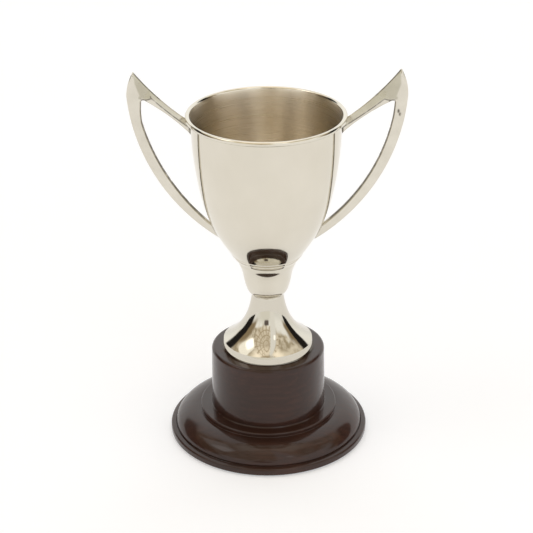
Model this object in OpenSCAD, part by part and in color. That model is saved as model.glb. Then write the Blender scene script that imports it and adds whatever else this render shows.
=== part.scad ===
// Two-handled presentation cup on a turned plinth.
// Millimetres, +Z up. The origin is the centre of the underside, on the table.
// One centre bolt holds bowl, foot, drum and base together, with a nut in the base's recess.

/* [Plinth] */
// Diameter of the lip that the plinth stands on
lip_d = 100; // [96:1:112]
// Diameter of the round step under the drum
step_d = 68.8; // [64:0.2:72]
// Height of the turned base, over the felt
base_h = 14.5; // [13.5:0.5:18]
// Diameter of the drum at its bottom
drum_d = 57.4; // [54:0.2:60]
// Height of the drum
drum_h = 32; // [20:1:50]
// Thickness of the felt under the base
felt_t = 0.7; // [0.5:0.1:2]

/* [Cup] */
// Outer diameter of the bowl's wall at the mouth
mouth_d = 72.3; // [71:0.1:76]
// Thickness of the spun metal
wall = 0.9; // [0.7:0.1:1.2]
// Diameter of the rolled bead round the mouth
bead_d = 2.4; // [1.8:0.1:3]
// Radius of the wall's long curve
wall_curve_r = 181.4; // [170:0.2:190]
// Radius of the belly's curve
belly_curve_r = 90; // [85:0.5:96]
// Height of the trumpet foot
foot_h = 29.4; // [27:0.2:40]
// Diameter of the foot at its bottom
foot_d = 46.2; // [42:0.2:48]

/* [Handles] */
// How far each handle stands out from the wall
handle_reach = 30.8; // [28:0.2:36]
// How far the handle tips rise over the wall
handle_rise = 23.6; // [20:0.2:28]
// Thickness of the handle castings
handle_t = 3.2; // [2.6:0.1:5]

/* [Fixings] */
// Diameter of the centre bolt
bolt_d = 5; // [4:1:5]
// Width of the hexagons across their corners, for each mm of bolt
hex_ratio = 1.85; // [1.7:0.05:1.9]

/* [Hidden] */
$fn = 96;

// Levels
base_top = felt_t + base_h;
drum_top = base_top + drum_h;
foot_top = drum_top + foot_h;

// Outer profile of the cup, from the mouth down to the waist: runs of [radius, turn in degrees].
// A positive turn leans the wall further in, a negative one straightens it again.
WALL_RUNS = [[wall_curve_r, 11.7]];
BELLY_RUNS = [[belly_curve_r, 10.1], [65, 8.9], [112, 7.3]];
WAIST_RUNS = [[-3, -22], [16, 9], [-23, -16], [45, 8.5], [7, 37]];
CUP_RUNS = concat(WALL_RUNS, BELLY_RUNS, WAIST_RUNS);
run_step = 3;
// Two fine rings round the belly's lower end: [height over the foot, radius], and how far they stand out
BELLY_RINGS = [[22.8, 0.5], [20.9, 0.45]];
ring_out = 0.2;

// Spun floors and the trumpet's flare
floor_t = 1.2;
neck_r = 6.5;
flare_run = 10.1;
foot_band_h = 4.3;
foot_band_lean = 0.9;
foot_band_curve_r = 9;
foot_band_steps = 4;
foot_edge = 0.5;
foot_steps = 24;

// Fixings
bolt_r = bolt_d / 2;
hole_gap = 0.25;
hole_r = bolt_r + hole_gap;
thread_gap = 0.02;
hex_r = bolt_d * hex_ratio / 2;
nut_h = 0.8 * bolt_d;
bolt_head_h = 0.7 * bolt_d;
small_washer_r = 1.12 * bolt_d;
small_washer_t = 1;
wide_washer_r = 1.5 * bolt_d;
wide_washer_t = 1.2;
recess_r = 9;
recess_h = 5.5;
bolt_end_gap = 0.3;
bolt_end_z = felt_t + bolt_end_gap;

// Plinth
spigot_r = 12;
spigot_h = 5.8;
socket_h = 6;
socket_gap = 0.05;
drum_taper = 0.4;
drum_round = 1.6;
drum_cove = 0.5;
lip_h = 3.6;
lip_round = 1.1;
lip_chamfer = 0.5;
groove_w = 0.3;
dome_inset = 2.75;
dome_power = 1.8;
dome_rise_gap = 0.6;
dome_foot_z = felt_t + lip_h + dome_rise_gap;
dome_shelf = 0.8;
dome_steps = 16;
step_h = 2.2;
step_round = 0.6;
felt_inset = 1.4;

// ---- Profile helpers ----
function inward(lean) = [-cos(lean), sin(lean)];
// Point reached from p, leaning at a, after one run of radius r and turn t
function run_end(p, a, r, t) = p + r * (inward(a) - inward(a + t));
function run_points(p, a, r, t) =
    let (n = ceil(abs(t) / run_step))
    [for (i = [1:n]) run_end(p, a, r, t * i / n)];
function path_rest(p, a, runs, offset, i) =
    i >= len(runs) ? [] :
    let (r = runs[i][0] - offset, t = runs[i][1])
    concat(run_points(p, a, r, t), path_rest(run_end(p, a, r, t), a + t, runs, offset, i + 1));
// Points along the runs from p, with the whole path moved inward by offset
function path(p, a, runs, offset = 0) =
    let (start = p + offset * inward(a))
    concat([start], path_rest(start, a, runs, offset, 0));
function last(list) = list[len(list) - 1];
function reverse(list) = [for (i = [len(list) - 1:-1:0]) list[i]];

// Points from p to q on a circle of radius |r|, bulging to the right of the way for r > 0
function rot(v, a) = [v[0] * cos(a) - v[1] * sin(a), v[0] * sin(a) + v[1] * cos(a)];
function arc_to(p, q, r, n) =
    let (d = norm(q - p), u = (q - p) / d, side = [u[1], -u[0]] * sign(r),
         c = (p + q) / 2 - side * sqrt(r * r - d * d / 4), half = asin(d / 2 / abs(r)))
    [for (i = [0:n]) c + rot(p - c, sign(r) * 2 * half * i / n)];

// A rounded outer edge of radius r, from the side of corner p round to its top
function quarter_round(p, r) = [for (a = [0:15:90]) p - r * [1 - cos(a), 1 - sin(a)]];

// ---- The cup's levels, found by walking down the profile ----
cup_drop = -last(path([0, 0], 0, CUP_RUNS))[1];
mouth = [mouth_d / 2, foot_top + cup_drop];
bowl_outer = path(mouth, 0, CUP_RUNS);
bowl_floor_z = foot_top + wall;
bowl_inner = [for (p = path(mouth, 0, CUP_RUNS, wall)) if (p[1] > bowl_floor_z) p];
bead_gap = 0.05;
bead_c = mouth + [bead_d / 2 + bead_gap, bead_d / 2];
bead_steps = 24;
bead_start = -125;
bead_turn = 300;
under_head_z = bowl_floor_z + small_washer_t;

module revolve(points) {
    rotate_extrude() polygon(points);
}

module ring(outer_r, inner_r, z, h) {
    translate([0, 0, z])
    difference() {
        cylinder(r = outer_r, h = h);
        translate([0, 0, -1]) cylinder(r = inner_r, h = h + 2);
    }
}

module hex_nut(z) {
    translate([0, 0, z])
    difference() {
        cylinder(r = hex_r, h = nut_h, $fn = 6);
        translate([0, 0, -1]) cylinder(r = bolt_r + thread_gap, h = nut_h + 2);
    }
}

// ---- Cup ----
// Outline of the wall, the lip that flares out to the bead, and the bead itself
function bead_point(a) = bead_c + bead_d / 2 * [cos(a), sin(a)];
function bowl_rim() = [for (i = [0:bead_steps]) bead_point(bead_start + bead_turn * i / bead_steps)];

module belly_ring(z, r) {
    wall_r = lookup(z, [for (p = bowl_outer) [p[1], p[0]]]);
    rotate_extrude() translate([wall_r + ring_out - r, z]) circle(r = r, $fn = 32);
}

module bowl() {
    color("gainsboro")
    difference() {
        union() {
            revolve(concat(reverse(bowl_outer), bowl_rim(), bowl_inner,
                           [[last(bowl_inner)[0], bowl_floor_z], [0, bowl_floor_z], [0, foot_top]]));
            for (ring = BELLY_RINGS) belly_ring(foot_top + ring[0], ring[1]);
        }
        translate([0, 0, foot_top - 1]) cylinder(r = hole_r, h = wall + 2);
    }
}

// Everything inside the bowl's outer skin, which the handles are cut back to
module bowl_body() {
    revolve(concat(reverse(bowl_outer), bowl_rim(), [[0, mouth[1] + bead_d / 2], [0, foot_top]]));
}

// Radius of the trumpet at a height over the drum, and how far in its inner skin lies
flare_base = foot_d / 2 - foot_band_lean;
function flare(h) = neck_r + (flare_base - neck_r) * exp(-(h - foot_band_h) / flare_run);
function flare_slope(h) = (flare(h) - neck_r) / flare_run;
function flare_wall(h) = wall * sqrt(1 + pow(flare_slope(h), 2));

module foot() {
    h_top = foot_h - floor_t;
    outer = [for (i = [1:foot_steps]) let (h = foot_band_h + (foot_h - foot_band_h) * i / foot_steps)
             [flare(h), drum_top + h]];
    inner = [for (i = [foot_steps:-1:0]) let (h = foot_band_h + (h_top - foot_band_h) * i / foot_steps)
             [flare(h) - flare_wall(h), drum_top + h]];
    band_r = foot_d / 2;
    band_top = drum_top + foot_band_h;
    band_inner = [[flare_base - wall, band_top - wall], [band_r - wall, drum_top]];
    band_outer = arc_to([band_r, drum_top + foot_edge], [flare_base, band_top],
                        foot_band_curve_r, foot_band_steps);
    color("gainsboro")
    revolve(concat(outer, [[hole_r, drum_top + foot_h], [hole_r, drum_top + h_top]], inner,
                   band_inner, [[band_r - foot_edge / 2, drum_top]], band_outer));
}

// ---- Handles ----
// Each is one flat casting: a bar that sweeps up from the belly to a horn, and an arm back to the mouth.
// Corners of the outline, from the mouth's edge
bar_root = mouth + [-14, -62.8];
bar_root_in = mouth + [-17, -64.7];
bar_top = mouth + [handle_reach, 11.5];
horn_out = mouth + [handle_reach - 2.8, handle_rise - 0.5];
horn_in = mouth + [handle_reach - 3.9, handle_rise - 0.2];
arm_top = mouth + [2.1, -0.1];
arm_top_in = mouth + [-2.2, -3];
// Corners of the window between bar, arm and bowl
window_apex = mouth + [handle_reach - 6.7, 9];
window_out = window_apex + [0.5, -1.2];
window_in = window_apex + [-1, -0.9];
window_foot = mouth + [-14.8, -58];
window_arm = mouth + [-0.2, -8];
// Both outlines run on into the bowl as far as here, before they are cut back to its skin
inside = mouth[0] - 16;
// Radii of the curved stretches
bar_outer_r = 96;
horn_outer_r = 26;
horn_tip_r = 0.7;
horn_upper_r = 120;
bar_inner_r = 90;
window_apex_r = 0.9;
arm_lower_r = 94;

function handle_outline() = concat(
    arc_to(bar_root, bar_top, bar_outer_r, 14),
    arc_to(bar_top, horn_out, horn_outer_r, 5),
    arc_to(horn_out, horn_in, horn_tip_r, 3),
    arc_to(horn_in, arm_top, -horn_upper_r, 6),
    [arm_top_in, [inside, arm_top_in[1]], [inside, bar_root_in[1]], bar_root_in]);

function window_outline() = concat(
    arc_to(window_foot, window_out, bar_inner_r, 14),
    arc_to(window_out, window_in, window_apex_r, 4),
    arc_to(window_in, window_arm, arm_lower_r, 6),
    [[inside, window_arm[1]], [inside, window_foot[1]]]);

module handle() {
    difference() {
        rotate([90, 0, 0])
        translate([0, 0, -handle_t / 2])
        linear_extrude(height = handle_t)
        difference() {
            polygon(handle_outline());
            polygon(window_outline());
        }
        bowl_body();
    }
}

module handle_right() {
    color("lightgray") handle();
}

module handle_left() {
    color("lightgray") mirror([1, 0, 0]) handle();
}

// ---- Fixings ----
module centre_bolt() {
    color("silver") {
        translate([0, 0, bolt_end_z]) cylinder(r = bolt_r, h = under_head_z - bolt_end_z + bolt_head_h / 2);
        translate([0, 0, under_head_z]) cylinder(r = hex_r, h = bolt_head_h, $fn = 6);
    }
}

module bowl_washer() {
    color("silver") ring(small_washer_r, hole_r, bowl_floor_z, small_washer_t);
}

module foot_washer() {
    color("silver") ring(small_washer_r, hole_r, foot_top - floor_t - small_washer_t, small_washer_t);
}

module foot_nut() {
    color("silver") hex_nut(foot_top - floor_t - small_washer_t - nut_h);
}

module plinth_washer() {
    color("silver") ring(wide_washer_r, hole_r, felt_t + recess_h - wide_washer_t, wide_washer_t);
}

module plinth_nut() {
    color("silver") hex_nut(felt_t + recess_h - wide_washer_t - nut_h);
}

// ---- Plinth ----
module plinth_drum() {
    top_r = drum_d / 2 - drum_taper;
    spigot_z = base_top - spigot_h;
    edge = quarter_round([top_r, drum_top], drum_round);
    color([0.24, 0.16, 0.13])
    revolve(concat(
        [[hole_r, spigot_z], [spigot_r, spigot_z], [spigot_r, base_top]],
        [[drum_d / 2 + drum_cove, base_top], [drum_d / 2, base_top + drum_cove]],
        edge, [[hole_r, drum_top]]));
}

// The dome is a quarter of a superellipse, from the lip's groove up to the step
dome_out = lip_d / 2 - dome_inset;
dome_in = step_d / 2 + dome_shelf;
dome_h = base_top - step_h - dome_foot_z;
function dome_point(t) = [dome_in + (dome_out - dome_in) * pow(cos(t), 2 / dome_power),
                          dome_foot_z + dome_h * pow(sin(t), 2 / dome_power)];

module plinth_base() {
    lip_top = felt_t + lip_h;
    lip_r = lip_d / 2;
    step_r = step_d / 2;
    lip_edge = quarter_round([lip_r, lip_top], lip_round);
    dome = [for (i = [0:dome_steps]) dome_point(90 * i / dome_steps)];
    step_edge = quarter_round([step_r, base_top], step_round);
    groove_r = dome_out - groove_w;
    color([0.26, 0.17, 0.14])
    revolve(concat(
        [[hole_r, felt_t + recess_h], [recess_r, felt_t + recess_h], [recess_r, felt_t]],
        [[lip_r - lip_chamfer, felt_t], [lip_r, felt_t + lip_chamfer]],
        lip_edge,
        [[dome_out, lip_top], [groove_r, lip_top - groove_w], [groove_r, lip_top + groove_w]],
        dome,
        [[step_r, base_top - step_h]],
        step_edge,
        [[spigot_r + socket_gap, base_top], [spigot_r + socket_gap, base_top - socket_h]],
        [[hole_r, base_top - socket_h]]));
}

module base_felt() {
    color([0.1, 0.2, 0.14]) cylinder(r = lip_d / 2 - felt_inset, h = felt_t);
}

bowl();
handle_left();
handle_right();
foot();
centre_bolt();
bowl_washer();
foot_washer();
foot_nut();
plinth_drum();
plinth_base();
plinth_washer();
plinth_nut();
base_felt();
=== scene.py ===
"""Looks of the two-handled cup trophy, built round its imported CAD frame.

Lengths are millimetres, and MM turns them into Blender's metres where a mesh is made.
"""

import math

import bmesh
import bpy
import numpy as np
from mathutils import Matrix, Vector, geometry


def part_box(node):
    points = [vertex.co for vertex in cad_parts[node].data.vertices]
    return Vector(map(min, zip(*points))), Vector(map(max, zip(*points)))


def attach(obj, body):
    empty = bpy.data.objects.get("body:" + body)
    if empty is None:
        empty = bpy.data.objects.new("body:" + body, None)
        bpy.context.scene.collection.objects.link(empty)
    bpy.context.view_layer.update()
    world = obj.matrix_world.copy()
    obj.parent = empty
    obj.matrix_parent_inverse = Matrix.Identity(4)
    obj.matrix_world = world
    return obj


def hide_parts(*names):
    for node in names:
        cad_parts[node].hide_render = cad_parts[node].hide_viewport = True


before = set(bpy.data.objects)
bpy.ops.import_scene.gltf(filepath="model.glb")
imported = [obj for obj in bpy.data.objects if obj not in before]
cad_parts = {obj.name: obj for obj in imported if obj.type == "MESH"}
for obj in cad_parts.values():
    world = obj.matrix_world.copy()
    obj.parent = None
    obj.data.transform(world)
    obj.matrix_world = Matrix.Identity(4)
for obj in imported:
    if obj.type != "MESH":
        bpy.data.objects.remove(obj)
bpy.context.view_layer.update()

MM = 0.001
SEGMENTS = 320


def top_of(node):
    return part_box(node)[1].z / MM


def radius_of(node):
    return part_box(node)[1].x / MM


# Levels and radii, from the frame
FELT_TOP = top_of("base_felt")
BASE_TOP = top_of("plinth_base")
DRUM_TOP = top_of("plinth_drum")
FOOT_TOP = top_of("foot")
LIP_R = radius_of("plinth_base")
FOOT_R = radius_of("foot")

# The cup's profile: runs of (radius, turn in degrees) from the mouth down, leaning inward as they turn
WALL_RUNS = [(181.4, 11.7)]
BELLY_RUNS = [(90, 10.1), (65, 8.9), (112, 7.3)]
WAIST_RUNS = [(-3, -22), (16, 9), (-23, -16), (45, 8.5), (7, 37)]
CUP_RUNS = WALL_RUNS + BELLY_RUNS + WAIST_RUNS
# Two fine rings round the belly's lower end: (height over the foot, radius), and how far they stand out
BELLY_RINGS = [(22.8, 0.5), (20.9, 0.45)]
RING_OUT = 0.2
WALL = 0.9
LIP_WALL = 0.3
LIP_FADE = 8.0
BEAD_R = 1.2
BEAD_GAP = 0.05
MOUTH = np.array([radius_of("bowl") - 2 * BEAD_R - BEAD_GAP, top_of("bowl") - 2 * BEAD_R])
HOLE_R = 2.75

# The trumpet foot's flare over its band, which leans in
BAND_H = 4.3
BAND_LEAN = 0.9
BAND_CURVE_R = 30
NECK_R = 6.5
FLARE_RUN = 10.1
FOOT_SHELL = 1.1
FOOT_FLOOR = 1.2
FOOT_EDGE = 0.3

# The drum and its spigot, and the base's socket, recess, lip, dome and step
DRUM_R = 28.7
DRUM_TAPER = 0.4
DRUM_EDGE_R = 1.6
SPIGOT_R = 12.0
SPIGOT_LENGTH = 5.8
SOCKET_R = 12.05
SOCKET_DEPTH = 6
RECESS_R = 9
RECESS_DEPTH = 5.5
LIP_H = 3.6
DOME_INSET = 2.75
DOME_INNER_R = 35.2
DOME_DROP = 2.2
DOME_POWER = 1.8
STEP_R = 34.4
FELT_EDGE = 0.1


# ---------------------------------------------------------------- outlines

def inward(lean):
    return np.array([-math.cos(lean), math.sin(lean)])


def wall_path(inset=0.0, step=1.0):
    """Points down the cup's wall from the mouth, moved inward by inset."""
    lean = 0.0
    points = [MOUTH + inset * inward(0)]
    for radius, turn in CUP_RUNS:
        count = math.ceil(abs(turn) / step)
        start, radius = points[-1], radius - inset
        for i in range(1, count + 1):
            now = lean + math.radians(turn) * i / count
            points.append(start + radius * (inward(lean) - inward(now)))
        lean += math.radians(turn)
    return points


def filleted(corners, step=10.0):
    """A polyline through corners (r, z, fillet radius), each rounded by its radius."""
    points = []
    last = len(corners) - 1
    for i, (r, z, fillet) in enumerate(corners):
        here = np.array([r, z])
        if fillet == 0 or i in (0, last):
            points.append(here)
            continue
        back = np.array(corners[i - 1][:2]) - here
        ahead = np.array(corners[i + 1][:2]) - here
        back, ahead = back / np.linalg.norm(back), ahead / np.linalg.norm(ahead)
        half = math.acos(np.clip(back @ ahead, -1, 1)) / 2
        reach = fillet / math.tan(half)
        middle = (back + ahead) / np.linalg.norm(back + ahead)
        centre = here + middle * fillet / math.sin(half)
        a, b = here + back * reach - centre, here + ahead * reach - centre
        turn = math.pi - 2 * half
        count = max(2, math.ceil(math.degrees(turn) / step))
        for k in range(count + 1):
            t = k / count
            points.append(centre + (math.sin((1 - t) * turn) * a + math.sin(t * turn) * b) / math.sin(turn))
    return points


def arc_to(p, q, radius, count):
    """Points from p to q on a circle; radius > 0 bulges to the right of the way."""
    p, q = np.asarray(p, float), np.asarray(q, float)
    along = q - p
    length = np.linalg.norm(along)
    side = np.array([along[1], -along[0]]) / length * math.copysign(1, radius)
    centre = (p + q) / 2 - side * math.sqrt(radius * radius - length * length / 4)
    turn = math.copysign(2 * math.asin(length / 2 / abs(radius)), radius)
    points = []
    for i in range(count + 1):
        c, s = math.cos(turn * i / count), math.sin(turn * i / count)
        d = p - centre
        points.append(centre + np.array([d[0] * c - d[1] * s, d[0] * s + d[1] * c]))
    return points


# ---------------------------------------------------------------- meshes

def add_piece(name, mesh, materials, slot, *nodes):
    """Links a mesh as a piece of the object that stands for its CAD nodes."""
    piece = bpy.data.objects.new(name, mesh)
    bpy.context.scene.collection.objects.link(piece)
    for material in materials:
        mesh.materials.append(material)
    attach(piece, "root")
    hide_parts(*nodes)


def smooth(mesh, angle=32):
    mesh.polygons.foreach_set("use_smooth", [True] * len(mesh.polygons))
    mesh.set_sharp_from_angle(angle=math.radians(angle))


def lathe(name, runs):
    """A closed solid of revolution. runs is a list of (points, material index) that make one closed loop."""
    outline, indices = [], []
    for points, index in runs:
        for point in points:
            if outline and np.linalg.norm(outline[-1] - point) < 1e-4:
                continue
            outline.append(np.asarray(point, float))
            indices.append(index)
    on_axis = [p[0] < 1e-6 for p in outline]
    verts, rings = [], []
    for p, axial in zip(outline, on_axis):
        if axial:
            rings.append([len(verts)])
            verts.append((0, 0, p[1] * MM))
            continue
        rings.append(list(range(len(verts), len(verts) + SEGMENTS)))
        for k in range(SEGMENTS):
            a = 2 * math.pi * k / SEGMENTS
            verts.append((p[0] * math.cos(a) * MM, p[0] * math.sin(a) * MM, p[1] * MM))
    faces, face_index = [], []
    count = len(outline)
    for i in range(count):
        lower, upper = rings[i], rings[(i + 1) % count]
        if len(lower) == 1 and len(upper) == 1:
            continue
        for k in range(SEGMENTS):
            n = (k + 1) % SEGMENTS
            if len(lower) == 1:
                face = (lower[0], upper[n], upper[k])
            elif len(upper) == 1:
                face = (lower[k], lower[n], upper[0])
            else:
                face = (lower[k], lower[n], upper[n], upper[k])
            faces.append(face)
            face_index.append(indices[(i + 1) % count])
    mesh = bpy.data.meshes.new(name)
    mesh.from_pydata(verts, [], faces)
    mesh.polygons.foreach_set("material_index", face_index)
    clean_up(mesh)
    smooth(mesh)
    return mesh


def clean_up(mesh):
    """Drops loose points and turns every face outward."""
    bm = bmesh.new()
    bm.from_mesh(mesh)
    bmesh.ops.delete(bm, geom=[v for v in bm.verts if not v.link_faces], context="VERTS")
    bmesh.ops.recalc_face_normals(bm, faces=bm.faces)
    bm.to_mesh(mesh)
    bm.free()


# ---------------------------------------------------------------- materials

class Nodes:
    """Short calls for building a node tree."""

    def __init__(self, tree):
        self.tree = tree

    def add(self, kind, inputs=None, **settings):
        node = self.tree.nodes.new(kind)
        for key, value in settings.items():
            setattr(node, key, value)
        for key, value in (inputs or {}).items():
            if isinstance(value, bpy.types.NodeSocket):
                self.tree.links.new(value, node.inputs[key])
            else:
                node.inputs[key].default_value = value
        return node

    def place(self, scale):
        """Object coordinates, multiplied by scale."""
        where = self.add("ShaderNodeTexCoord")
        return self.add("ShaderNodeMapping", {"Vector": where.outputs["Object"], "Scale": scale}).outputs[0]

    def noise(self, scale, detail=4.0, rough=0.5, distortion=0.0):
        inputs = {"Vector": self.place(scale), "Scale": 1.0, "Detail": detail,
                  "Roughness": rough, "Distortion": distortion}
        return self.add("ShaderNodeTexNoise", inputs).outputs["Fac"]

    def ramp(self, factor, stops):
        """stops is a list of (position, value or colour)."""
        node = self.add("ShaderNodeValToRGB", {"Fac": factor})
        elements = node.color_ramp.elements
        while len(elements) < len(stops):
            elements.new(0.5)
        for element, (position, colour) in zip(elements, stops):
            element.position = position
            element.color = (*colour, 1) if isinstance(colour, tuple) else (colour, colour, colour, 1)
        return node.outputs["Color"]

    def math(self, operation, a, b=0.0):
        return self.add("ShaderNodeMath", {0: a, 1: b}, operation=operation).outputs[0]

    def blend(self, factor, a, b):
        """Colour a where factor is 0 and b where it is 1."""
        inputs = {0: factor, 6: a, 7: b}
        return self.add("ShaderNodeMix", inputs, data_type="RGBA").outputs[2]

    def fade(self, value, low, high):
        """0 below low, 1 above high, with a soft step between them."""
        inputs = {"Value": value, "From Min": low, "From Max": high}
        return self.add("ShaderNodeMapRange", inputs, interpolation_type="SMOOTHSTEP").outputs[0]

    def bump(self, height, strength, distance, below=None):
        inputs = {"Height": height, "Strength": strength, "Distance": distance}
        if below is not None:
            inputs["Normal"] = below
        return self.add("ShaderNodeBump", inputs).outputs["Normal"]


class Surface(Nodes):
    """A material with one Principled shader."""

    def __init__(self, name):
        self.material = bpy.data.materials.new(name)
        self.material.use_nodes = True
        super().__init__(self.material.node_tree)
        self.shader = self.tree.nodes["Principled BSDF"]

    def link(self, name, socket):
        self.tree.links.new(socket, self.shader.inputs[name])

    def set(self, **values):
        for key, value in values.items():
            self.shader.inputs[key.replace("_", " ")].default_value = value


def nickel_polished(name, tone):
    """Spun and buffed nickel. tone scales how much it reflects."""
    n = Surface(name)
    n.set(Metallic=1.0)
    cloud = n.noise((38, 38, 30), detail=3)
    colours = (0.675, 0.637, 0.545), (0.720, 0.681, 0.592)
    low, high = [tuple(tone * c for c in colour) for colour in colours]
    n.link("Base Color", n.ramp(cloud, [(0.3, low), (0.7, high)]))
    smear = n.noise((60, 60, 25), detail=6, rough=0.6)
    n.link("Roughness", n.ramp(smear, [(0.35, 0.045), (0.75, 0.11)]))
    ripple = n.noise((14, 14, 120), detail=2)
    fine = n.noise((900, 900, 2600), detail=2)
    n.link("Normal", n.bump(fine, 0.02, 0.0001, n.bump(ripple, 0.12, 0.0003)))
    return n.material


def nickel_brushed():
    """The bowl's inside: brushed round and round, so its highlights stretch up and down."""
    n = Surface("nickel_brushed")
    n.set(Metallic=1.0, Anisotropic=0.92, Anisotropic_Rotation=0.25)
    lines = n.noise((9, 9, 2600), detail=3, rough=0.7)
    uneven = n.noise((50, 50, 50), detail=3)
    polish = n.ramp(uneven, [(0.35, (0.73, 0.66, 0.545)), (0.65, (0.82, 0.75, 0.64))])
    scratches = n.ramp(lines, [(0.35, (0.96, 0.955, 0.94)), (0.65, (1, 1, 1))])
    tone = n.add("ShaderNodeMix", {0: 1.0, 6: polish, 7: scratches}, data_type="RGBA", blend_type="MULTIPLY")
    n.link("Base Color", tone.outputs[2])
    n.link("Roughness", n.ramp(lines, [(0.3, 0.26), (0.7, 0.31)]))
    n.link("Normal", n.bump(lines, 0.035, 0.0001))
    tangent = n.add("ShaderNodeTangent", direction_type="RADIAL", axis="Z")
    n.link("Tangent", tangent.outputs[0])
    return n.material


def nickel_cast():
    """The handles: cast, so softer and less even than the spun cup.

    The mesh carries two masks of painted shade: one turns the arm's upper facets into a shaded olive copy of
    the nickel, the other paints near-black shade along the crease, along the window's and upper edges, round
    the joints and in the pits.
    """
    n = Surface("nickel_cast")
    n.set(Metallic=1.0)
    # Mask of painted shade on the arm's upper facets.
    painted_facet_shade = n.add("ShaderNodeAttribute", attribute_name="painted_facet_shade").outputs["Fac"]
    painted_crease_shade = n.add("ShaderNodeAttribute", attribute_name="painted_crease_shade").outputs["Fac"]
    cloud = n.noise((110, 110, 110), detail=4)
    # A lit and a shaded olive copy of the nickel; the facet mask blends to the shaded one as painted shade.
    lit_nickel = n.ramp(cloud, [(0.3, (0.65, 0.615, 0.53)), (0.7, (0.72, 0.685, 0.60))])
    shaded_olive = n.ramp(cloud, [(0.3, (0.465, 0.435, 0.345)), (0.7, (0.555, 0.525, 0.425))])
    # Painted shade in the creases, along edges, round joints and in pits, broken into patches by noise; it
    # also roughens the metal.
    patchy_crease_shade = n.math("MULTIPLY", painted_crease_shade, n.fade(n.noise((420, 420, 420), detail=3), 0.2, 0.5))
    shaded_metal = n.blend(painted_facet_shade, lit_nickel, shaded_olive)
    # The painted shade is a near-black brown laid over the metal.
    n.link("Base Color", n.blend(patchy_crease_shade, shaded_metal, (0.07, 0.058, 0.042, 1)))
    smear = n.noise((240, 240, 240), detail=5, rough=0.65)
    rough = n.ramp(smear, [(0.3, 0.10), (0.75, 0.2)])
    n.link("Roughness", n.math("ADD", rough, n.math("MULTIPLY", patchy_crease_shade, 0.35)))
    waves = n.noise((230, 230, 230), detail=3)
    grain = n.noise((2200, 2200, 2200), detail=2)
    n.link("Normal", n.bump(grain, 0.05, 0.0001, n.bump(waves, 0.2, 0.0005)))
    return n.material


def lacquered_wood():
    n = Surface("lacquered_wood")
    n.set(Specular_IOR_Level=0.1, Coat_Weight=0.8, Coat_Roughness=0.07, Coat_IOR=1.43)
    grain = n.noise((18, 420, 420), detail=6, rough=0.6, distortion=0.4)
    patch = n.noise((22, 40, 40), detail=3)
    tone = n.add("ShaderNodeMix", {0: 0.4, 2: grain, 3: patch}, data_type="FLOAT").outputs[0]
    dark, middle, light = (0.024, 0.0100, 0.0065), (0.031, 0.0122, 0.0077), (0.048, 0.0175, 0.0100)
    n.link("Base Color", n.ramp(tone, [(0.34, dark), (0.5, middle), (0.68, light)]))
    n.link("Roughness", n.ramp(grain, [(0.3, 0.35), (0.7, 0.5)]))
    n.link("Normal", n.bump(grain, 0.06, 0.0002))
    peel = n.noise((260, 260, 260), detail=2)
    n.link("Coat Normal", n.bump(peel, 0.08, 0.0003))
    return n.material


def felt():
    n = Surface("felt")
    n.set(Sheen_Weight=0.5)
    fibres = n.noise((2600, 2600, 2600), detail=4, rough=0.7)
    n.link("Base Color", n.ramp(fibres, [(0.3, (0.012, 0.04, 0.022)), (0.7, (0.04, 0.11, 0.06))]))
    n.link("Roughness", n.ramp(fibres, [(0.3, 0.9), (0.7, 1.0)]))
    n.link("Normal", n.bump(fibres, 0.6, 0.0003))
    return n.material


def zinc_steel():
    n = Surface("zinc_steel")
    n.set(Metallic=1.0)
    cloud = n.noise((300, 300, 300), detail=4)
    n.link("Base Color", n.ramp(cloud, [(0.3, (0.42, 0.42, 0.41)), (0.7, (0.58, 0.58, 0.56))]))
    n.link("Roughness", n.ramp(cloud, [(0.3, 0.25), (0.7, 0.42)]))
    n.link("Normal", n.bump(n.noise((1800, 1800, 1800)), 0.1, 0.0002))
    return n.material


POLISHED = nickel_polished("nickel_polished", 1.0)
# The foot takes the cup's nickel a tenth darker: a shaded copy of the same metal, painted shade.
SHADED_FOOT_NICKEL = nickel_polished("nickel_foot_shaded", 0.9)
BRUSHED = nickel_brushed()
CAST = nickel_cast()
WOOD = lacquered_wood()
FELT = felt()
STEEL = zinc_steel()


# ---------------------------------------------------------------- cup

def bead_points(first, last, step=8):
    centre = MOUTH + [BEAD_R + BEAD_GAP, BEAD_R]
    count = round(abs(last - first) / step)
    angles = np.radians(np.linspace(first, last, count + 1))
    return [centre + BEAD_R * np.array([math.cos(a), math.sin(a)]) for a in angles]


def with_ring(outline, z, radius):
    """Swells a falling outline at height z into a round ring that stands out of it by RING_OUT."""
    fine = []
    for p, q in zip(outline, outline[1:]):
        steps = 10 if abs(p[1] - z) < 2 else 1
        fine += [p + (q - p) * k / steps for k in range(steps)]
    fine.append(outline[-1])
    wall_r = np.interp(z, [p[1] for p in fine[::-1]], [p[0] for p in fine[::-1]])
    centre = np.array([wall_r + RING_OUT - radius, z])
    above = [p for p in fine if p[1] > z and np.linalg.norm(p - centre) > radius]
    below = [p for p in fine if p[1] < z and np.linalg.norm(p - centre) > radius]
    start, end = above[-1] - centre, below[0] - centre
    angles = np.linspace(math.atan2(start[1], start[0]), math.atan2(end[1], end[0]), 14)[1:-1]
    return above + [centre + radius * np.array([math.cos(a), math.sin(a)]) for a in angles] + below


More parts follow.
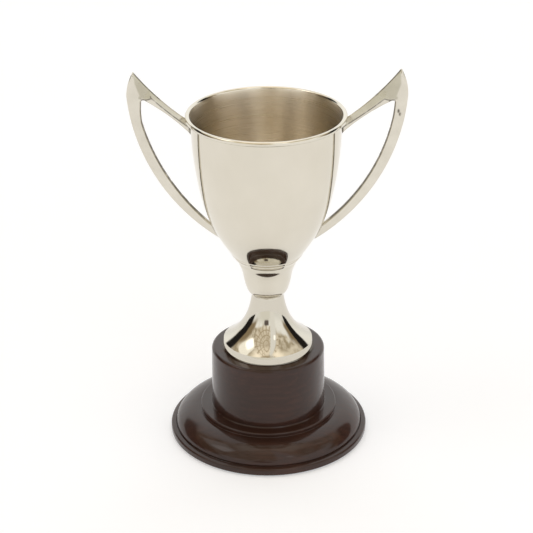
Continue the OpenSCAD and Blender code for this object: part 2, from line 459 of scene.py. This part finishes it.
def build_bowl():
    outer = wall_path(step=0.5)
    for height, radius in BELLY_RINGS:
        outer = with_ring(outer, FOOT_TOP + height, radius)
    floor_z = FOOT_TOP + WALL
    inner = []
    for thick, thin in zip(wall_path(WALL), wall_path(LIP_WALL)):
        share = np.clip(1 - (MOUTH[1] - thick[1]) / LIP_FADE, 0, 1)
        if thick[1] > floor_z:
            inner.append(thick + (thin - thick) * share)
    underside = filleted([(HOLE_R, FOOT_TOP, 0), (outer[-1][0] + 0.05, FOOT_TOP, 0.3), (*outer[-2], 0)])
    polished = underside + outer[::-1][2:] + bead_points(-125, 165)
    brushed = inner + [(inner[-1][0], floor_z), (HOLE_R, floor_z)]
    mesh = lathe("bowl", [(polished, 0), (brushed, 1)])
    add_piece("cup_bowl", mesh, [POLISHED, BRUSHED], "nickel", "bowl")


def flare(h):
    return NECK_R + (FOOT_R - BAND_LEAN - NECK_R) * math.exp(-(h - BAND_H) / FLARE_RUN)


def build_foot():
    height = FOOT_TOP - DRUM_TOP
    band_top = (FOOT_R - BAND_LEAN, DRUM_TOP + BAND_H)
    outer = [(flare(h), DRUM_TOP + h) for h in np.linspace(height - 0.25, BAND_H + 0.12, 70)]
    top = [(HOLE_R, FOOT_TOP), (outer[0][0] - 0.3, FOOT_TOP), (outer[0][0] - 0.1, FOOT_TOP - 0.06)]
    band = arc_to(band_top, (FOOT_R - 0.02, DRUM_TOP + FOOT_EDGE), -BAND_CURVE_R, 16)
    under = [(FOOT_R - 0.12, DRUM_TOP + 0.08), (FOOT_R - FOOT_EDGE, DRUM_TOP),
             (FOOT_R - FOOT_SHELL, DRUM_TOP)]
    inner = [(FOOT_R - BAND_LEAN - FOOT_SHELL, DRUM_TOP + BAND_H - FOOT_SHELL)]
    for h in np.linspace(BAND_H, height - FOOT_FLOOR, 38):
        inner.append((flare(h + FOOT_SHELL) - FOOT_SHELL, DRUM_TOP + h))
    ceiling = [(HOLE_R, FOOT_TOP - FOOT_FLOOR)]
    mesh = lathe("foot", [(top + outer + band + under + inner + ceiling, 0)])
    add_piece("cup_foot", mesh, [SHADED_FOOT_NICKEL], "nickel", "foot")


# ---------------------------------------------------------------- plinth

def build_drum():
    spigot_z = BASE_TOP - SPIGOT_LENGTH
    spigot = [(HOLE_R, spigot_z, 0), (SPIGOT_R, spigot_z, 0), (SPIGOT_R, BASE_TOP, 0)]
    side = [(DRUM_R + 0.45, BASE_TOP, 0), (DRUM_R + 0.05, BASE_TOP + 0.45, 0.5),
            (DRUM_R - DRUM_TAPER, DRUM_TOP, DRUM_EDGE_R), (HOLE_R, DRUM_TOP, 0)]
    mesh = lathe("drum", [(filleted(spigot + side, 6), 0)])
    add_piece("plinth_drum_turned", mesh, [WOOD], "dark_wood", "plinth_drum")


def build_base():
    lip_top = FELT_TOP + LIP_H
    recess_z = FELT_TOP + RECESS_DEPTH
    socket_z = BASE_TOP - SOCKET_DEPTH
    dome_out, dome_foot, dome_top = LIP_R - DOME_INSET, lip_top + 0.6, BASE_TOP - DOME_DROP
    recess = [(HOLE_R, recess_z, 0), (RECESS_R, recess_z, 0), (RECESS_R, FELT_TOP, 0)]
    lip = [(LIP_R - 0.5, FELT_TOP, 0), (LIP_R, FELT_TOP + 0.5, 0.4), (LIP_R, lip_top - 0.25, 1.0)]
    groove = [(dome_out + 0.25, lip_top + 0.1, 0.15), (dome_out, lip_top - 0.25, 0.08),
              (dome_out - 0.25, lip_top - 0.05, 0.1), (dome_out, dome_foot, 0)]
    start = filleted(recess + lip + groove, 8)
    dome = []
    for t in np.radians(np.linspace(0, 90, 60)):
        r = DOME_INNER_R + (dome_out - DOME_INNER_R) * math.cos(t) ** (2 / DOME_POWER)
        dome.append((r, dome_foot + (dome_top - dome_foot) * math.sin(t) ** (2 / DOME_POWER)))
    step = filleted([(DOME_INNER_R, dome_top, 0), (STEP_R - 0.05, dome_top, 0.25), (STEP_R, BASE_TOP, 0.6),
                     (SOCKET_R, BASE_TOP, 0)], 8)
    socket = [(SOCKET_R, socket_z), (HOLE_R, socket_z)]
    mesh = lathe("base", [(start + dome + step + socket, 0)])
    add_piece("plinth_base_turned", mesh, [WOOD], "dark_wood", "plinth_base")


def build_felt():
    radius = radius_of("base_felt")
    outline = [(0, 0, 0), (radius - FELT_EDGE, 0, 0), (radius, 0.15, FELT_EDGE),
               (radius, FELT_TOP - FELT_EDGE, FELT_EDGE), (radius - FELT_EDGE, FELT_TOP, 0), (0, FELT_TOP, 0)]
    mesh = lathe("felt", [(filleted(outline), 0)])
    add_piece("felt_disc", mesh, [FELT], "green_felt", "base_felt")


# ---------------------------------------------------------------- handles

REACH = radius_of("handle_right") - MOUTH[0]
# The horn's rounded tip ends this far under its corner
TIP_DROP = 0.04
RISE = top_of("handle_right") - MOUTH[1] + TIP_DROP
HALF = 1.6
HORN_R = 26
TIP_R = 0.7
UPPER_R = 120
LOWER_R = 94
CREASE_R = 200
APEX_R = 0.9
# How deep the castings are let into the bowl's wall
SUNK = 0.45


class Casting:
    """The outline of one handle. The two differ a little.

    bar and window are each (lower end, upper end, radius) of the arc on that side of the bar.
    """

    def __init__(self, name, side, rise, bar, window, apex, top_run, flaws=()):
        self.name = name
        self.side = side
        self.rise = rise
        self.bar = bar
        self.window = window
        self.apex = at_mouth(*apex)
        self.top_run = top_run
        # Pits in the casting: (x, z, size), from the mouth's edge
        self.flaws = [(at_mouth(x, z), size) for x, z, size in flaws]


def at_mouth(x, z):
    return MOUTH + [x, z]


def wall_radius(z):
    """Radius at which the castings end inside the bowl's wall."""
    path = np.array(wall_path())[::-1]
    return np.interp(z, path[:, 1], path[:, 0]) - SUNK


def handle_curves(cast):
    """The edges of the handle's face, in its own plane, and the crease where the arm's bevel begins."""
    bar_low, bar_top, bar_r = cast.bar
    window_low, window_top, window_r = cast.window
    bar_top, window_top = at_mouth(*bar_top), at_mouth(*window_top)
    horn_out, horn_in = bar_top + [-2.9, cast.rise - 12.0], bar_top + [-4.0, cast.rise - 11.7]
    window_out, window_in = cast.apex + [0.5, -1.2], cast.apex + [-1, -0.9]
    outer = arc_to(at_mouth(*bar_low), bar_top, bar_r, 220)[:-1] + arc_to(bar_top, horn_out, HORN_R, 40)[:-1]
    tip = arc_to(horn_out, horn_in, TIP_R, 8)[:-1]
    upper = arc_to(horn_in, at_mouth(2.1, -0.1), -UPPER_R, 90)
    window = arc_to(at_mouth(*window_low), window_top, window_r, 180)[:-1]
    window += arc_to(window_top, window_out, cast.top_run, 24)[:-1]
    window += arc_to(window_out, window_in, APEX_R, 10)[:-1]
    lower = arc_to(window_in, at_mouth(-0.2, -8), LOWER_R, 70)
    crease = arc_to(at_mouth(-1, -5.2), cast.apex + [-4.5, 0.5], CREASE_R, 40)[:-1]
    crease += arc_to(cast.apex + [-4.5, 0.5], cast.apex + [0.4, 0.3], 6, 16)
    return [np.array(line) for line in (outer, tip, upper, window, lower, crease)]


def to_polyline(points, line):
    """Distances from points to a polyline."""
    a, b = line[:-1], line[1:]
    d = b - a
    best = np.full(len(points), 1e9)
    for k in range(len(a)):
        t = np.clip(((points - a[k]) @ d[k]) / (d[k] @ d[k]), 0, 1)
        best = np.minimum(best, np.linalg.norm(points - a[k] - t[:, None] * d[k], axis=1))
    return best


def inside(points, loop):
    """Which points lie inside a closed loop."""
    hit = np.zeros(len(points), bool)
    for (x0, z0), (x1, z1) in zip(loop, np.roll(loop, -1, 0)):
        if z0 == z1:
            continue
        crosses = (z0 > points[:, 1]) != (z1 > points[:, 1])
        at = x0 + (points[:, 1] - z0) * (x1 - x0) / (z1 - z0)
        hit ^= crosses & (points[:, 0] < at)
    return hit


def smoothstep(value, low, high):
    t = np.clip((value - low) / (high - low), 0, 1)
    return t * t * (3 - 2 * t)


class Relief:
    """Half thickness of the casting, and its two masks, over points in its plane."""

    EDGE = 0.35
    GROOVE = 0.55
    BEVEL_DROP = 0.9
    ARM_DROP = 0.95
    BAR_EDGE = 0.4
    BAR_ROUND = 2.8

    def __init__(self, curves, flaws):
        self.flaws = flaws
        outer, _, upper, window, lower, crease = curves
        self.outer, self.upper, self.window, self.lower, self.crease = outer, upper, window, lower, crease
        self.horn_ridge = np.array([crease[-1] + [1.2, 1.6], crease[-1] + [3.2, 7.5], upper[0] + [0.6, -1.6]])

    def measure(self, points):
        self.x, self.z = points[:, 0], points[:, 1]
        self.pits = np.zeros(len(points))
        for centre, size in self.flaws:
            away = np.linalg.norm((points - centre) * [1.0, 0.55], axis=1)
            self.pits = np.maximum(self.pits, 1 - smoothstep(away, 0.3 * size, size))
        self.to_outer = to_polyline(points, self.outer)
        self.to_upper = to_polyline(points, self.upper)
        self.to_window = to_polyline(points, self.window)
        self.to_lower = to_polyline(points, self.lower)
        self.to_crease = to_polyline(points, self.crease)
        self.to_ridge = to_polyline(points, self.horn_ridge)
        self.joint = self.x - wall_radius(self.z) - SUNK
        low_x, low_z = self.lower[::-1].T
        crease_x, crease_z = self.crease.T
        below = self.z < np.interp(self.x, crease_x, crease_z)
        self.on_bevel = below & (self.x < crease_x[-1]) & (self.z > np.interp(self.x, low_x, low_z) - 0.6)
        ridge_z, ridge_x = self.horn_ridge[:, 1], self.horn_ridge[:, 0]
        left = self.x < np.interp(self.z, ridge_z, ridge_x)
        beside_ridge = left & (self.z > self.crease[-1][1])
        over_crease = (self.x < crease_x[-1]) & ~below
        self.on_arm = ~self.on_bevel & (beside_ridge | over_crease)

    def height(self):
        bevel = HALF - self.BEVEL_DROP * self.to_crease / (self.to_crease + self.to_lower + 1e-9)
        from_line = np.minimum(self.to_crease, self.to_ridge)
        arm = HALF - self.ARM_DROP * from_line / (from_line + self.to_upper + 1e-9)
        share = np.clip(1 - self.to_outer / self.BAR_ROUND, 0, 1)
        bar = self.BAR_EDGE + (HALF - self.BAR_EDGE) * np.sqrt(1 - share ** 2)
        bar -= 0.35 * (1 - smoothstep(self.to_window, 0.1, 0.9))
        result = np.where(self.on_bevel, bevel, np.where(self.on_arm, arm, bar))
        to_gap = np.minimum(self.to_window, self.to_lower)
        edge = np.minimum(to_gap, np.minimum(self.to_upper, self.to_outer + 0.3))
        near = np.clip(self.EDGE - edge, 0, self.EDGE)
        result = result - (self.EDGE - np.sqrt(self.EDGE ** 2 - near ** 2))
        # A bead of braze fills the corner against the bowl
        return result - 0.2 * self.pits + 0.7 * np.exp(-np.clip(self.joint, 0, None) / 0.45)

    # Painted shade: the arm's upper facets, darker towards the top, kept off the crease and the ridge.
    def painted_facet_shade(self):
        arm = self.on_arm * (0.35 + 0.65 * smoothstep(self.z, self.crease[0][1] + 3, self.crease[-1][1] + 4))
        return arm * smoothstep(self.to_crease, 0.1, 0.7) * smoothstep(self.to_ridge, 0.1, 0.9)

    def painted_crease_shade(self):
        """Painted shade along the window's edge on the bar, along the crease and the upper edge, round the
        joints and in the pits.
        """
        on_bar = smoothstep(self.joint, 1.0, 4.0) * (1 - smoothstep(self.to_window, 0.1, self.GROOVE))
        crease = 0.8 * (1 - smoothstep(self.to_crease, 0.08, 0.42)) * (self.x < self.crease[-1][0] + 0.3)
        joint = 0.9 * (1 - smoothstep(self.joint, 0.15, 0.9))
        top = 0.75 * (1 - smoothstep(self.to_upper, 0.05, 0.4)) * (self.x > self.crease[-1][0] - 9)
        return np.clip(np.maximum.reduce([on_bar * 0.8, crease, joint, top, 0.85 * self.pits]), 0, 1)


def face_loop(curves):
    """The closed outline of a handle's face, with both ends let into the bowl's wall."""
    outer, tip, upper, window, lower, _ = curves
    outer = outer[outer[:, 0] > wall_radius(outer[:, 1])]
    window = window[window[:, 0] > wall_radius(window[:, 1])]
    lower = lower[lower[:, 0] > wall_radius(lower[:, 1])]
    bar_z = np.linspace(window[0][1], outer[0][1], 14)[1:-1]
    arm_z = np.linspace(upper[-1][1], lower[-1][1], 12)
    bar_end = np.c_[wall_radius(bar_z), bar_z]
    arm_end = np.c_[wall_radius(arm_z), arm_z]
    loop = np.vstack([outer, tip, upper, arm_end, lower[::-1], window[::-1], bar_end])
    return loop[np.linalg.norm(loop - np.roll(loop, 1, 0), axis=1) > 0.02]


def face_points(loop, crease):
    """Points to mesh a face with: rows along its edge and crease, then a hexagonal field."""
    ahead, behind = np.roll(loop, -1, 0), np.roll(loop, 1, 0)
    tangent = (ahead - behind) / np.linalg.norm(ahead - behind, axis=1)[:, None]
    normal = np.c_[-tangent[:, 1], tangent[:, 0]]
    closed = np.vstack([loop, loop[:1]])
    rows = []
    for depth in (0.1, 0.22, 0.36, 0.52, 0.7):
        row = loop + normal * depth
        rows.append(row[inside(row, loop) & (to_polyline(row, closed) > depth * 0.93)])
    along = np.gradient(crease, axis=0)
    across = np.c_[-along[:, 1], along[:, 0]] / np.linalg.norm(along, axis=1)[:, None]
    for offset in (-0.4, -0.2, 0, 0.2, 0.4):
        row = crease + across * offset
        rows.append(row[inside(row, loop) & (to_polyline(row, closed) > 0.75)])
    pitch = 0.4
    low, high = loop.min(0), loop.max(0)
    xs = np.arange(low[0], high[0], pitch)
    for j, z in enumerate(np.arange(low[1], high[1], pitch * math.sqrt(0.75))):
        row = np.c_[xs + (j % 2) * pitch / 2, np.full(len(xs), z)]
        row = row[inside(row, loop)]
        if len(row):
            clear = (to_polyline(row, closed) > 0.9) & (to_polyline(row, crease) > 0.55)
            rows.append(row[clear])
    return np.vstack([loop] + rows)


def handle_mesh(cast):
    curves = handle_curves(cast)
    loop = face_loop(curves)
    points = face_points(loop, curves[-1])
    edges = [(i, (i + 1) % len(loop)) for i in range(len(loop))]
    flat = geometry.delaunay_2d_cdt([Vector(p) for p in points], edges, [], 0, 1e-5)
    flat_points = np.array([tuple(v) for v in flat[0]])
    triangles = np.array([f for f in flat[2] if len(f) == 3])
    triangles = triangles[inside(flat_points[triangles].mean(1), loop)]
    relief = Relief(curves, cast.flaws)
    relief.measure(flat_points)
    height = relief.height()
    count = len(flat_points)
    directed = {(int(t[i]), int(t[(i + 1) % 3])) for t in triangles for i in range(3)}
    rim = [e for e in directed if (e[1], e[0]) not in directed]
    verts = []
    for side in (-1, 1):
        verts += [(cast.side * p[0] * MM, side * h * MM, p[1] * MM) for p, h in zip(flat_points, height)]
    faces = [tuple(map(int, t)) for t in triangles] + [tuple(map(int, t[::-1] + count)) for t in triangles]
    faces += [(b, a, a + count, b + count) for a, b in sorted(rim)]
    mesh = bpy.data.meshes.new("handle_" + cast.name)
    mesh.from_pydata(verts, [], faces)
    # Both masks are painted shade, stored on the points for the material.
    for name, mask in (("painted_facet_shade", relief.painted_facet_shade()), ("painted_crease_shade", relief.painted_crease_shade())):
        values = np.tile(mask, 2).astype(float)
        mesh.attributes.new(name, "FLOAT", "POINT").data.foreach_set("value", values)
    clean_up(mesh)
    smooth(mesh, 40)
    return mesh


def build_handles():
    right = Casting("right", 1, RISE, bar=((-12.4, -63), (REACH, 11.5), 96),
                    window=((-13, -58), (23.8, 0), 92.7), apex=(24.1, 9.0), top_run=60,
                    flaws=[(26.3, 3.4, 0.8), (27.0, 1.8, 0.7)])
    left = Casting("left", -1, RISE - 0.7, bar=((-13.9, -63), (29.6, 11.5), 97.5),
                   window=((-13.1, -58), (22.6, -2), 106.9), apex=(22.2, 10.1), top_run=45)
    for cast in (right, left):
        add_piece("cast_handle_" + cast.name, handle_mesh(cast), [CAST], "nickel", "handle_" + cast.name)


# ---------------------------------------------------------------- fixings

def plate_fixings():
    """The bolt, washers and nuts stay the CAD's own solids, in zinc-plated steel."""
    for node in ("centre_bolt", "bowl_washer", "foot_washer", "foot_nut", "plinth_washer", "plinth_nut"):
        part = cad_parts[node]
        part.data.materials.clear()
        part.data.materials.append(STEEL)


# ---------------------------------------------------------------- stage

PALE = (1.04, 1.04, 1.02, 1)
BROWN = (0.34, 0.26, 0.16)
BLACK = (0.02, 0.018, 0.016)
FLOOR_SIZE = 6.0


def build_floor():
    """A pale table top that also glows a little, so that only a faint shadow shows."""
    n = Surface("floor")
    n.set(Roughness=1.0, Specular_IOR_Level=0.0, Emission_Color=(1, 1, 1, 1), Emission_Strength=0.385)
    cloud = n.noise((3, 3, 3), detail=2)
    n.link("Base Color", n.ramp(cloud, [(0.3, (0.67, 0.69, 0.745)), (0.7, (0.69, 0.71, 0.765))]))
    size = FLOOR_SIZE
    mesh = bpy.data.meshes.new("floor")
    corners = [(-size, -size, 0), (size, -size, 0), (size, size, 0), (-size, size, 0)]
    mesh.from_pydata(corners, [], [(0, 1, 2, 3)])
    mesh.materials.append(n.material)
    floor = bpy.data.objects.new("floor", mesh)
    bpy.context.scene.collection.objects.link(floor)


class Studio(Nodes):
    """A world laid out in degrees. Azimuth is 0 in front of the object and grows to the right."""

    def __init__(self):
        world = bpy.data.worlds.new("studio")
        world.use_nodes = True
        bpy.context.scene.world = world
        super().__init__(world.node_tree)
        where = self.add("ShaderNodeTexCoord").outputs["Generated"]
        x, y, z = self.add("ShaderNodeSeparateXYZ", {0: where}).outputs
        self.azimuth = self.math("DEGREES", self.math("ARCTAN2", x, self.math("MULTIPLY", y, -1.0)))
        self.elevation = self.math("DEGREES", self.math("ARCSINE", z))
        self.wobble = self.cloud(where, 4.0)
        self.mottle = self.cloud(where, 6.0)

    def cloud(self, where, scale):
        """A noise between about -0.5 and 0.5."""
        noise = self.add("ShaderNodeTexNoise", {"Vector": where, "Scale": scale, "Detail": 3.0})
        return self.math("SUBTRACT", noise.outputs["Fac"], 0.5)

    def zone(self, colour, azimuth, elevation, width, height, soft=0.3, lean=0.0, wobble=0.6, power=4.0):
        """Lays a rounded patch of a colour over what is there.

        lean is how far it drifts sideways for each degree up.
        """
        rise = self.math("SUBTRACT", self.elevation, elevation)
        centre = self.math("ADD", self.math("MULTIPLY", rise, lean), azimuth)
        aside = self.math("SUBTRACT", self.azimuth, centre)
        across = self.math("ABSOLUTE", self.math("DIVIDE", aside, width))
        upward = self.math("ABSOLUTE", self.math("DIVIDE", rise, height))
        total = self.math("ADD", self.math("POWER", across, power), self.math("POWER", upward, power))
        reach = self.math("POWER", total, 1 / power)
        distance = self.math("ADD", reach, self.math("MULTIPLY", self.wobble, wobble))
        outside = self.fade(distance, 1 - soft, 1 + soft)
        self.colour = self.blend(outside, (*colour, 1), self.colour)

    def fan(self, azimuth, elevation, reach, ribs, rings):
        """A ribbed umbrella that opens downward from its hub: thin dark ribs and rings on what is there."""
        down = self.math("SUBTRACT", elevation, self.elevation)
        across = self.math("MULTIPLY", self.math("SUBTRACT", self.azimuth, azimuth), 0.72)
        turn = self.math("DEGREES", self.math("ARCTAN2", across, down))
        squares = self.math("ADD", self.math("POWER", across, 2.0), self.math("POWER", down, 2.0))
        distance = self.math("SQRT", squares)
        lines = self.math("MAXIMUM", self.comb(turn, ribs), self.comb(distance, rings))
        near = self.math("SUBTRACT", 1.0, self.fade(distance, reach - 3, reach))
        self.colour = self.blend(self.math("MULTIPLY", near, 0.45), self.colour, (1.05, 0.93, 0.76, 1))
        self.colour = self.blend(self.math("MULTIPLY", near, lines), self.colour, (0.58, 0.48, 0.33, 1))

    def comb(self, value, pitch):
        """Thin lines at every pitch of a value."""
        place = self.math("FRACT", self.math("DIVIDE", value, pitch))
        saw = self.math("ABSOLUTE", self.math("SUBTRACT", place, 0.5))
        return self.fade(saw, 0.32, 0.48)


def build_world():
    """A white tent with a beige ceiling, dark openings at its sides, two lamps and an umbrella.

    Only reflections and light see that layout. Behind the object the view shows a plain pale wall.
    """
    s = Studio()
    edge = s.math("ADD", s.math("MULTIPLY", s.azimuth, 0.12), s.math("MULTIPLY", s.wobble, 40.0))
    above = s.fade(s.math("SUBTRACT", s.elevation, edge), 20.0, 34.0)
    behind = s.fade(s.math("ABSOLUTE", s.azimuth), 118.0, 142.0)
    ceiling = s.math("MULTIPLY", above, s.math("SUBTRACT", 1.0, behind))
    beige = s.ramp(s.math("ADD", s.mottle, 0.5), [(0.38, (0.52, 0.44, 0.31)), (0.62, (1.0, 0.91, 0.76))])
    walls = s.blend(s.fade(s.elevation, 1.0, 16.0), PALE, (1.2, 1.2, 1.18, 1))
    s.colour = s.blend(ceiling, walls, beige)
    s.colour = s.blend(s.fade(s.elevation, 62.0, 76.0), s.colour, (1.5, 1.36, 1.14, 1))
    s.zone((0.98, 0.96, 0.89), -12, 0, 38, 15, soft=0.4)
    s.fan(-8, 64, 44, 17, 11)
    s.zone((1.08, 1.07, 1.04), 24, 40, 13, 48, soft=0.3, wobble=0.2)
    s.zone((1.4, 1.36, 1.25), -88, 52, 25, 12, soft=0.08, wobble=0.2)
    s.zone(BROWN, -92, 24, 24, 15, soft=0.4, lean=-0.9)
    s.zone(BROWN, 101, 25, 17, 15, soft=0.4, lean=0.7)
    s.zone(BLACK, -109, 15, 21, 26, soft=0.16, lean=-1.2, wobble=0.5, power=2.0)
    s.zone(BLACK, 111, 19, 15, 24, soft=0.16, lean=0.9, wobble=0.5, power=2.0)
    s.zone((0.16, 0.13, 0.12), -6, 17, 11, 5, soft=0.3)
    s.zone((2.4, 2.3, 2.2), -78, 51, 14, 8, wobble=0)
    s.zone((1.8, 1.75, 1.7), 30, 46, 4, 5, wobble=0)
    seen = s.add("ShaderNodeLightPath").outputs["Is Camera Ray"]
    s.colour = s.blend(seen, s.colour, PALE)
    s.tree.links.new(s.colour, s.tree.nodes["Background"].inputs["Color"])


def build_camera():
    """The camera stands 0.75 m in front and 0.45 m up, looking down by its pitch."""
    pitch, roll = math.radians(25.9), math.radians(-0.47)
    ahead = Vector((0, math.cos(pitch), -math.sin(pitch)))
    level, up = Vector((1, 0, 0)), Vector((0, math.sin(pitch), math.cos(pitch)))
    right = math.cos(roll) * level + math.sin(roll) * up
    top = math.cos(roll) * up - math.sin(roll) * level
    data = bpy.data.cameras.new("camera")
    data.sensor_width, data.lens, data.clip_start = 36.0, 113.88, 0.01
    camera = bpy.data.objects.new("camera", data)
    bpy.context.scene.collection.objects.link(camera)
    turn = Matrix((right, top, -ahead)).transposed().to_4x4()
    camera.matrix_world = Matrix.Translation((-0.00043, -0.7487, 0.4542)) @ turn
    bpy.context.scene.camera = camera


build_bowl()
build_foot()
build_drum()
build_base()
build_felt()
build_handles()
plate_fixings()
build_floor()
build_world()
build_camera()
bpy.context.scene.view_settings.view_transform = "Standard"
